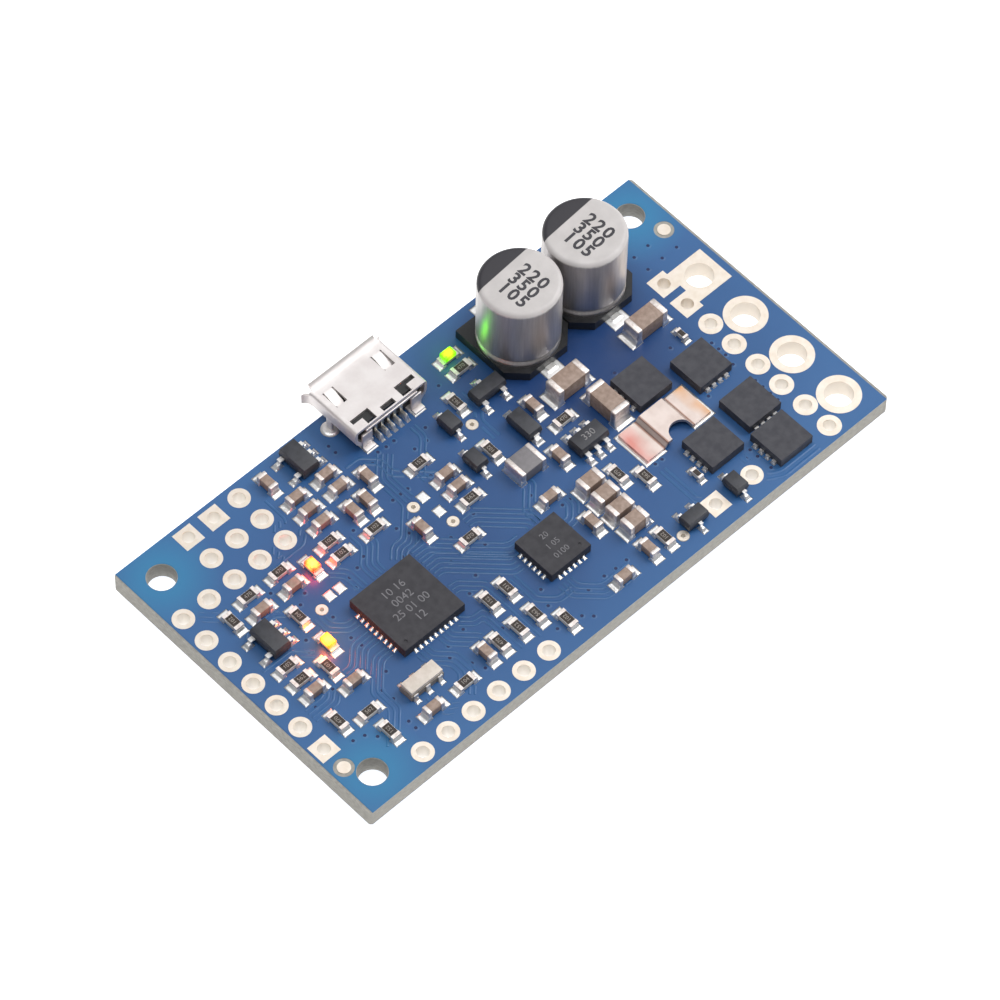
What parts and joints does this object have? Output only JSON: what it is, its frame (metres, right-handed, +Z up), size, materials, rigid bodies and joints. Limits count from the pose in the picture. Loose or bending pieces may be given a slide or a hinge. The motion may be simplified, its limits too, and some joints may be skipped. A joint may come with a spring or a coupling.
{
  "type": "microcontroller motor board",
  "caption": "Small blue microcontroller board for driving motors, with header holes, a USB socket, two can capacitors and large terminal holes.",
  "frame": {"origin": "middle of the board's underside", "axes": "+X along the long side, from the logic headers to the power terminals; +Y across the board to the USB edge; +Z up, the side with the parts"},
  "size_m": [0.0534, 0.0293, 0.0093],
  "materials": {
    "board": "blue solder mask over glass-epoxy laminate",
    "gold": "gold flash over nickel on copper",
    "tin": "reflowed tin solder",
    "chip_metal": "tin-plated chip ends",
    "lead_metal": "tin-plated copper leads",
    "socket_steel": "nickel-plated stainless sheet",
    "socket_plastic": "black high-temperature nylon",
    "contact_gold": "gold flash over nickel",
    "resistor_ceramic": "white alumina",
    "resistor_coat": "dark glass overcoat",
    "capacitor_ceramic": "fired barium titanate, tan",
    "inductor_ceramic": "grey ferrite ceramic",
    "mould_black": "black moulding compound",
    "strap_alloy": "tinned copper-manganese sheet",
    "led_plate": "pale laminate",
    "led_green": "lit, clear resin",
    "led_red": "lit, clear resin",
    "led_yellow": "lit, clear resin",
    "resonator_body": "alumina with tinned bands",
    "resonator_glue": "dark bond line",
    "resonator_lid": "cream ceramic cap",
    "can_aluminium": "drawn can, lacquered top",
    "base_plastic": "black moulded stand",
    "bung_rubber": "black rubber",
    "winding_paper": "foil and paper roll"
  },
  "bodies": {
    "root": {"circuit_board": "board", "header_pads": "gold", "switch_pads": "gold", "motor_output_pads": "gold", "power_terminal_pads": "gold", "supply_terminal_pad": "gold", "test_points": "gold", "fiducial_pads": "gold", "usb_leg_pads": "gold", "spare_lands": "tin", "resistor_lands": "tin", "capacitor_lands": "tin", "device_lands": "tin", "resistor_terminations": "chip_metal", "ceramic_capacitor_0603_terminations": "chip_metal", "ceramic_capacitor_0805_terminations": "chip_metal", "ceramic_capacitor_1206_terminations": "chip_metal", "inductor_terminations": "chip_metal", "led_terminations": "chip_metal", "resonator_terminals": "chip_metal", "small_outline_leads": "lead_metal", "microcontroller_terminals": "lead_metal", "gate_driver_terminals": "lead_metal", "mosfet_terminals": "lead_metal", "capacitor_leads": "lead_metal", "usb_shell": "socket_steel", "usb_insulator": "socket_plastic", "usb_contacts": "contact_gold", "resistor_plates": "resistor_ceramic", "resistor_coats": "resistor_coat", "ceramic_capacitor_0603_bodies": "capacitor_ceramic", "ceramic_capacitor_0805_bodies": "capacitor_ceramic", "ceramic_capacitor_1206_bodies": "capacitor_ceramic", "inductor_bodies": "inductor_ceramic", "five_lead_chip_bodies": "mould_black", "six_lead_chip_body": "mould_black", "transistor_body": "mould_black", "small_transistor_body": "mould_black", "diode_bodies": "mould_black", "microcontroller_body": "mould_black", "gate_driver_body": "mould_black", "mosfet_1_body": "mould_black", "mosfet_2_body": "mould_black", "mosfet_3_body": "mould_black", "mosfet_4_body": "mould_black", "mosfet_5_body": "mould_black", "current_sense_strap": "strap_alloy", "led_bases": "led_plate", "led_green_lens": "led_green", "led_red_lens": "led_red", "led_yellow_lens": "led_yellow", "resonator_base": "resonator_body", "resonator_seam": "resonator_glue", "resonator_cap": "resonator_lid", "capacitor_1_can": "can_aluminium", "capacitor_2_can": "can_aluminium", "capacitor_1_base": "base_plastic", "capacitor_2_base": "base_plastic", "capacitor_bungs": "bung_rubber", "capacitor_windings": "winding_paper"}
  },
  "joints": []
}
